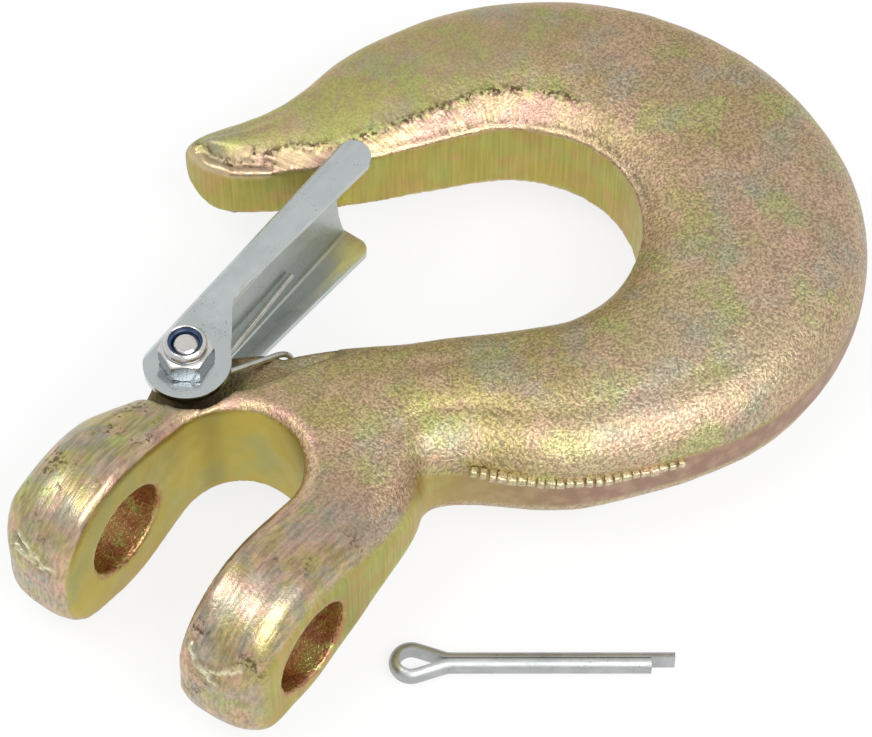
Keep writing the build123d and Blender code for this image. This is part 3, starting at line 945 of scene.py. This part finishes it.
def geometry_tree(name, sizes):
    """Geometry tree with named sizes and a material. Returns it with its inner sockets."""
    tree = bpy.data.node_groups.new(name, "GeometryNodeTree")
    tree.interface.new_socket("Geometry", in_out="INPUT", socket_type="NodeSocketGeometry")
    for size, value in sizes:
        made = tree.interface.new_socket(size, in_out="INPUT", socket_type="NodeSocketFloat")
        made.default_value = value
    tree.interface.new_socket("Finish", in_out="INPUT", socket_type="NodeSocketMaterial")
    tree.interface.new_socket("Geometry", in_out="OUTPUT", socket_type="NodeSocketGeometry")
    return tree, tree.nodes.new("NodeGroupInput").outputs, tree.nodes.new("NodeGroupOutput")


def finish_tree(tree, geometry, given, result):
    """Ends a geometry tree with its instances made real and in its finish."""
    real = node(tree, "GeometryNodeRealizeInstances", {"Geometry": geometry}).outputs[0]
    finish = node(tree, "GeometryNodeSetMaterial", {"Geometry": real, "Material": given["Finish"]})
    fill(tree, result, {"Geometry": finish.outputs[0]})


def make_wire_tree():
    """Round wire along a curve, closed at both ends."""
    tree, given, result = geometry_tree("round_wire", [("Wire radius", WIRE_RADIUS * MM)])
    section = node(tree, "GeometryNodeCurvePrimitiveCircle",
                   {"Resolution": 20, "Radius": given["Wire radius"]})
    tube = node(tree, "GeometryNodeCurveToMesh",
                {"Curve": given["Geometry"], "Profile Curve": section.outputs["Curve"], "Fill Caps": True})
    smooth = node(tree, "GeometryNodeSetShadeSmooth", {"Geometry": tube.outputs[0]})
    finish_tree(tree, smooth.outputs[0], given, result)
    return tree


def make_burr_tree():
    """Small rounded burrs in a row along a curve, each a little different, from a fixed seed."""
    tree, given, result = geometry_tree("burr_row", [
        ("Spacing", BURR_SPACING * MM), ("Burr length", BURR_LENGTH * MM),
        ("Burr height", BURR_HEIGHT * MM), ("Seed", BURR_SEED),
    ])
    spots = node(tree, "GeometryNodeResampleCurve",
                 {"Curve": given["Geometry"], "Length": given["Spacing"]}, mode="LENGTH")
    points = node(tree, "GeometryNodeCurveToPoints", {"Curve": spots.outputs[0]}, mode="EVALUATED").outputs
    size = node(tree, "ShaderNodeCombineXYZ",
                {0: given["Burr length"], 1: given["Burr height"], 2: given["Burr height"]})
    block = node(tree, "GeometryNodeMeshCube", {"Size": size.outputs[0]})
    rounded = node(tree, "GeometryNodeSubdivisionSurface",
                   {"Mesh": block.outputs[0], "Level": 2, "Edge Crease": 0.45})
    smooth = node(tree, "GeometryNodeSetShadeSmooth", {"Geometry": rounded.outputs[0]})
    row = node(tree, "GeometryNodeInstanceOnPoints",
               {"Points": points["Points"], "Instance": smooth.outputs[0], "Rotation": points["Rotation"]})
    spread = node(tree, "FunctionNodeRandomValue", data_type="FLOAT_VECTOR")
    fill(tree, spread, {"Min": SMALLEST_BURR, "Max": LARGEST_BURR, "Seed": given["Seed"]})
    varied = node(tree, "GeometryNodeScaleInstances",
                  {"Instances": row.outputs[0], "Scale": spread.outputs[0]})
    finish_tree(tree, varied.outputs[0], given, result)
    return tree


def run_tree(name, tree, path, finish):
    """Mesh piece that a geometry tree makes along a path of points, in millimetres."""
    curve = bpy.data.curves.new(name + "_path", "CURVE")
    curve.dimensions = "3D"
    spline = curve.splines.new("POLY")
    spline.points.add(len(path) - 1)
    for spot, (x, y, z) in zip(spline.points, path):
        spot.co = (x * MM, y * MM, z * MM, 1)
    route = link(name + "_path", curve)
    modifier = route.modifiers.new("shape", "NODES")
    modifier.node_group = tree
    for item in tree.interface.items_tree:
        if item.name == "Finish":
            modifier[item.identifier] = finish
    mesh = evaluated(route)
    bpy.data.objects.remove(route)
    return link(name, mesh)


def make_burrs():
    """Burrs that the trimming left along the bowl's lower edge."""
    burrs = run_tree("trim_burrs", make_burr_tree(), BURR_PATH, chromate)
    set_float(burrs.data, "mark", np.full(len(burrs.data.vertices), BURR_BRIGHTNESS))
    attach(burrs, "hook")


# Torsion spring: two coils on the bolt, two legs against the latch and a bridge round the shank
WIRE_RADIUS = 0.45
COIL_RADIUS = 3.2
COIL_LOW = 6.35
COIL_HIGH = 9.05
COIL_TURNS = 3
COIL_LEAD = 1.5
LEG_END = (29.6, 4.45)
BRIDGE = (13.4, -8.1, 4.8)
BRIDGE_BEND = 2.9
LEAD_BEND = 1.2
LEG_STEPS = 30
COIL_STEPS = 28


def on_pivot(x, y, z):
    return (PIVOT[0] + x, PIVOT[1] + y, z)


def steps(start, end, count):
    """Points from start up to but not including end."""
    return [tuple(a + (b - a) * i / count for a, b in zip(start, end)) for i in range(count)]


def bend(before, corner, after, reach, count=6):
    """Rounded corner between two runs, taking up this reach of each."""
    corner = Vector(corner)
    start = corner + (Vector(before) - corner).normalized() * reach
    end = corner + (Vector(after) - corner).normalized() * reach
    out = []
    for i in range(count + 1):
        t = i / count
        out.append(tuple(start * (1 - t) ** 2 + corner * 2 * t * (1 - t) + end * t * t))
    return out


def spring_half():
    """Path of the upper leg, its coil and half the bridge, down to the hook's middle plane."""
    leg_far = math.hypot(*LEG_END)
    bridge_far = math.hypot(BRIDGE[0], BRIDGE[1])
    leg_angle = math.atan2(LEG_END[1], LEG_END[0]) + math.acos(COIL_RADIUS / leg_far)
    bridge_angle = math.atan2(BRIDGE[1], BRIDGE[0]) - math.acos(COIL_RADIUS / bridge_far)
    turn = 2 * math.pi * COIL_TURNS + bridge_angle - leg_angle
    rise = (COIL_HIGH - COIL_LOW) / turn
    slope = rise / COIL_RADIUS
    leg_length = math.sqrt(leg_far ** 2 - COIL_RADIUS ** 2)
    start = (COIL_RADIUS * math.cos(leg_angle), COIL_RADIUS * math.sin(leg_angle), COIL_LOW)
    path = steps((*LEG_END, COIL_LOW - slope * leg_length), start, LEG_STEPS)
    count = COIL_STEPS * COIL_TURNS
    for i in range(count + 1):
        angle = leg_angle + turn * i / count
        height = COIL_LOW + rise * turn * i / count
        path.append((COIL_RADIUS * math.cos(angle), COIL_RADIUS * math.sin(angle), height))
    way = (-math.sin(bridge_angle), math.cos(bridge_angle), slope)
    lead = tuple(value + step * COIL_LEAD for value, step in zip(path[-1], way))
    middle = (BRIDGE[0], BRIDGE[1], 0)
    path += bend(path[-1], lead, BRIDGE, LEAD_BEND)
    path += bend(lead, BRIDGE, middle, BRIDGE_BEND, 12)
    path += steps((BRIDGE[0], BRIDGE[1], BRIDGE[2] - 1.5 * BRIDGE_BEND), middle, 4)
    return [on_pivot(*point) for point in path]


def make_spring():
    half = spring_half()
    path = half + [(x, y, -z) for x, y, z in reversed(half)]
    spring = run_tree("spring_wire", make_wire_tree(), path, spring_zinc)
    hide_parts("latch_spring")
    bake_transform(spring)


# Latch: the folded sheet with its cut edges broken
FLAT_ANGLE = 1.0
BROKEN_EDGE = 0.13
BROKEN_EDGE_ANGLE = 38
LATCH_SHARP_ANGLE = 28


def make_latch():
    sheet = link("latch_sheet", welded("latch", FLAT_ANGLE))
    edges = sheet.modifiers.new("edges", "BEVEL")
    edges.width = BROKEN_EDGE * MM
    edges.segments = 2
    edges.limit_method = "ANGLE"
    edges.angle_limit = math.radians(BROKEN_EDGE_ANGLE)
    apply_modifiers(sheet)
    sheet.data.shade_smooth()
    sheet.data.set_sharp_from_angle(angle=math.radians(LATCH_SHARP_ANGLE))
    sheet.data.materials.append(latch_zinc)
    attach(sheet, "latch")
    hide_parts("latch")


# Turned and hexagonal pieces on the latch's pivot, with the hexagons turned as photographed
HEX_TURN = -114.3
COLUMNS = 72
COLUMN_ANGLES = [math.radians(HEX_TURN + 360 * i / COLUMNS) for i in range(COLUMNS)]
TURNED_SHARP_ANGLE = 32
THREAD_PITCH = 0.7
THREAD_DEPTH = 0.28
THREAD_START = 9.5
THREAD_RUN_OUT = 0.35
THREAD_ROWS = 8
BOLT_END_CHAMFER = 0.1
CHAMFER_CIRCLE = 0.95 * NUT_HALF_WIDTH
CHAMFER_DROPS = [0.0, 0.08, 0.16, 0.24, 0.34, 0.46]
UNCUT = 2 * NUT_HALF_WIDTH
HOLE_CHAMFER = 0.25
HOLE_CHAMFER_TOP = 0.3
INSERT_PLAY = 0.05
INSERT_CHAMFER = 0.15
BOLT_END_RADII = (1.64, 1.48)

# Rolled collar of the lock nut: height above the hexagon's top, and radius
COLLAR = [(0.02, 3.12), (0.18, 3.08), (0.34, 3.16), (0.75, 3.17), (1.05, 3.08), (1.28, 2.92), (1.42, 2.74)]
COLLAR_TOP_RADIUS = 2.6
COLLAR_LIP_DROP = 0.06


def hexagon(angle):
    """Radius of the nut's hexagon at this angle."""
    part = (math.degrees(angle) - HEX_TURN) % 60 - 30
    return NUT_HALF_WIDTH / math.cos(math.radians(part))


def turned(name, rows, finish, ring):
    """Piece about the pivot from rows of a height and its radii, closed as a ring or capped."""
    bm = bmesh.new()
    loops = []
    for z, radii in rows:
        loop = []
        for angle, radius in zip(COLUMN_ANGLES, radii):
            spot = on_pivot(radius * math.cos(angle), radius * math.sin(angle), z)
            loop.append(bm.verts.new([value * MM for value in spot]))
        loops.append(loop)
    pairs = list(zip(loops, loops[1:]))
    if ring:
        pairs.append((loops[-1], loops[0]))
    for low, high in pairs:
        for i in range(COLUMNS):
            j = (i + 1) % COLUMNS
            bm.faces.new((low[i], low[j], high[j], high[i]))
    if not ring:
        bm.faces.new(reversed(loops[0]))
        bm.faces.new(loops[-1])
    bmesh.ops.recalc_face_normals(bm, faces=bm.faces)
    mesh = bpy.data.meshes.new(name)
    bm.to_mesh(mesh)
    bm.free()
    mesh.shade_smooth()
    mesh.set_sharp_from_angle(angle=math.radians(TURNED_SHARP_ANGLE))
    mesh.materials.append(finish)
    return link(name, mesh)


def round_row(z, radius):
    return (z, [radius] * COLUMNS)


def hexagon_rows(low, high, chamfer_low, chamfer_high):
    """Rows of a hexagon whose corners are turned off at 30 degrees at one or both ends."""
    heights = [low + drop for drop in CHAMFER_DROPS]
    heights += [high - drop for drop in reversed(CHAMFER_DROPS)]
    rows = []
    for z in heights:
        limit = UNCUT
        if chamfer_low:
            limit = min(limit, CHAMFER_CIRCLE + (z - low) * math.sqrt(3))
        if chamfer_high:
            limit = min(limit, CHAMFER_CIRCLE + (high - z) * math.sqrt(3))
        rows.append((z, [min(hexagon(angle), limit) for angle in COLUMN_ANGLES]))
    return rows


def thread_row(z, depth):
    """Row across a thread that climbs one pitch each turn."""
    waves = [abs(((z / THREAD_PITCH - i / COLUMNS) % 1) * 2 - 1) for i in range(COLUMNS)]
    return (z, [BOLT_RADIUS - depth * wave for wave in waves])


def make_bolt():
    rows = hexagon_rows(HEAD_LOW, -NUT_SEAT, True, False)
    rows += [round_row(-NUT_SEAT, BOLT_RADIUS), round_row(THREAD_START, BOLT_RADIUS)]
    z = THREAD_START
    while z < BOLT_TOP - THREAD_RUN_OUT:
        z += THREAD_PITCH / THREAD_ROWS
        rows.append(thread_row(z, THREAD_DEPTH * min(1.0, z - THREAD_START)))
    ends = zip((BOLT_TOP - BOLT_END_CHAMFER, BOLT_TOP), BOLT_END_RADII)
    rows += [round_row(z, radius) for z, radius in ends]
    bolt = turned("bolt_threaded", rows, bright_zinc, ring=False)
    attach(bolt, "hook")
    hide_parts("latch_bolt")


def make_nut():
    hex_top = NUT_SEAT + NUT_HEX_HEIGHT
    collar_top = NUT_SEAT + NUT_HEIGHT
    groove_radius = INSERT_RADIUS + INSERT_PLAY
    profile = [(hex_top + height, radius) for height, radius in COLLAR]
    profile += [
        (collar_top, COLLAR_TOP_RADIUS), (collar_top - COLLAR_LIP_DROP, COLLAR_LIP),
        (INSERT_TOP, COLLAR_LIP), (INSERT_TOP, groove_radius), (INSERT_LOW, groove_radius),
        (INSERT_LOW, HOLE_RADIUS), (NUT_SEAT + HOLE_CHAMFER_TOP, HOLE_RADIUS),
        (NUT_SEAT, HOLE_RADIUS + HOLE_CHAMFER),
    ]
    rows = hexagon_rows(NUT_SEAT, hex_top, True, True) + [round_row(z, radius) for z, radius in profile]
    nut = turned("lock_nut", rows, bright_zinc, ring=True)
    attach(nut, "hook")
    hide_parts("latch_nut")


def make_insert():
    profile = [
        (INSERT_LOW, INSERT_RADIUS), (INSERT_TOP - 0.12, INSERT_RADIUS),
        (INSERT_TOP, INSERT_RADIUS - INSERT_CHAMFER), (INSERT_TOP, HOLE_RADIUS + 0.2),
        (INSERT_TOP - INSERT_CHAMFER, HOLE_RADIUS), (INSERT_LOW, HOLE_RADIUS),
    ]
    insert = turned("nylon_ring", [round_row(z, radius) for z, radius in profile], nylon, ring=True)
    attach(insert, "hook")
    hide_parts("nut_insert")


make_spring()
make_latch()
make_bolt()
make_nut()
make_insert()
make_burrs()

# Split pin, in its plating
pin = nodes["cotter_pin"]
pin.data.materials.clear()
pin.data.materials.append(pin_zinc)


# Floor, light and camera, in metres and degrees
FLOOR_REACH = 3
FLOOR_GREY = 0.9
FLOOR_SHINE = 0.8
SKY_STRENGTH = 0.75
LAMP_DISTANCE = 0.9
STUDIO_MIDDLE = (0.05, -0.01, 0)
CAMERA_ELEVATION = 55.27
CAMERA_TURN = 54.33
CAMERA_TARGET = (0.04764, -0.00931, 0.00017)
CAMERA_DISTANCE = 0.5083
FOCAL_PIXELS = 3500
IMAGE_WIDTH = 872
SENSOR_WIDTH = 36


def make_floor():
    """White floor that keeps the object's shadow, and shows white to the eye and in metal."""
    material = bpy.data.materials.new("white_floor")
    material.use_nodes = True
    tree = material.node_tree
    tree.nodes.remove(tree.nodes["Principled BSDF"])
    rays = node(tree, "ShaderNodeLightPath").outputs
    seen = node(tree, "ShaderNodeMath", {0: rays["Is Camera Ray"], 1: rays["Is Glossy Ray"]},
                operation="ADD", use_clamp=True).outputs[0]
    matt = node(tree, "ShaderNodeBsdfDiffuse", {"Color": (FLOOR_GREY, FLOOR_GREY, FLOOR_GREY, 1)})
    white = node(tree, "ShaderNodeEmission", {"Color": (1, 1, 1, 1), "Strength": 1.0})
    share = times(tree, seen, FLOOR_SHINE)
    both = node(tree, "ShaderNodeMixShader", {0: share, 1: matt.outputs[0], 2: white.outputs[0]})
    fill(tree, tree.nodes["Material Output"], {"Surface": both.outputs[0]})
    mesh = bpy.data.meshes.new("floor")
    far, low = FLOOR_REACH, cad_low.z
    corners = [(-far, -far, low), (far, -far, low), (far, far, low), (-far, far, low)]
    mesh.from_pydata(corners, [], [(0, 1, 2, 3)])
    mesh.materials.append(material)
    floor = link("floor", mesh)


def make_world():
    """Even light from all round, which shows white to the eye."""
    world = bpy.data.worlds.new("studio")
    bpy.context.scene.world = world
    world.use_nodes = True
    tree = world.node_tree
    seen = node(tree, "ShaderNodeLightPath").outputs["Is Camera Ray"]
    strength = mix_value(tree, seen, SKY_STRENGTH, 1.0)
    fill(tree, tree.nodes["Background"], {"Color": (1, 1, 1, 1), "Strength": strength})


def softbox(name, direction, size, power):
    """Rectangular lamp that lies this way from the object's middle and faces it."""
    data = bpy.data.lights.new(name, "AREA")
    data.shape = "RECTANGLE"
    data.size, data.size_y = size
    data.energy = power
    lamp = link(name, data)
    way = Vector(direction).normalized()
    lamp.location = Vector(STUDIO_MIDDLE) + way * LAMP_DISTANCE
    lamp.rotation_euler = (-way).to_track_quat("-Z", "Y").to_euler()


def make_camera():
    """Camera at the photograph's angle, a little over half a metre away."""
    elevation = math.radians(CAMERA_ELEVATION)
    turn = math.radians(CAMERA_TURN)
    right = Vector((math.cos(turn), -math.sin(turn), 0))
    flat = math.cos(elevation)
    ahead = Vector((flat * math.sin(turn), flat * math.cos(turn), -math.sin(elevation)))
    up = right.cross(ahead)
    data = bpy.data.cameras.new("camera")
    data.sensor_width = SENSOR_WIDTH
    data.lens = FOCAL_PIXELS * SENSOR_WIDTH / IMAGE_WIDTH
    data.clip_start = 0.01
    camera = link("camera", data)
    place = Vector(CAMERA_TARGET) - CAMERA_DISTANCE * ahead
    camera.matrix_world = Matrix((
        (right.x, up.x, -ahead.x, place.x),
        (right.y, up.y, -ahead.y, place.y),
        (right.z, up.z, -ahead.z, place.z),
        (0, 0, 0, 1),
    ))
    bpy.context.scene.camera = camera


make_floor()
make_world()
softbox("front_softbox", (-0.25, -0.62, 0.75), (0.75, 0.5), 5)
softbox("top_softbox", (-0.35, 0.3, 0.89), (0.35, 0.35), 1.7)
make_camera()
bpy.context.scene.view_settings.view_transform = "Standard"
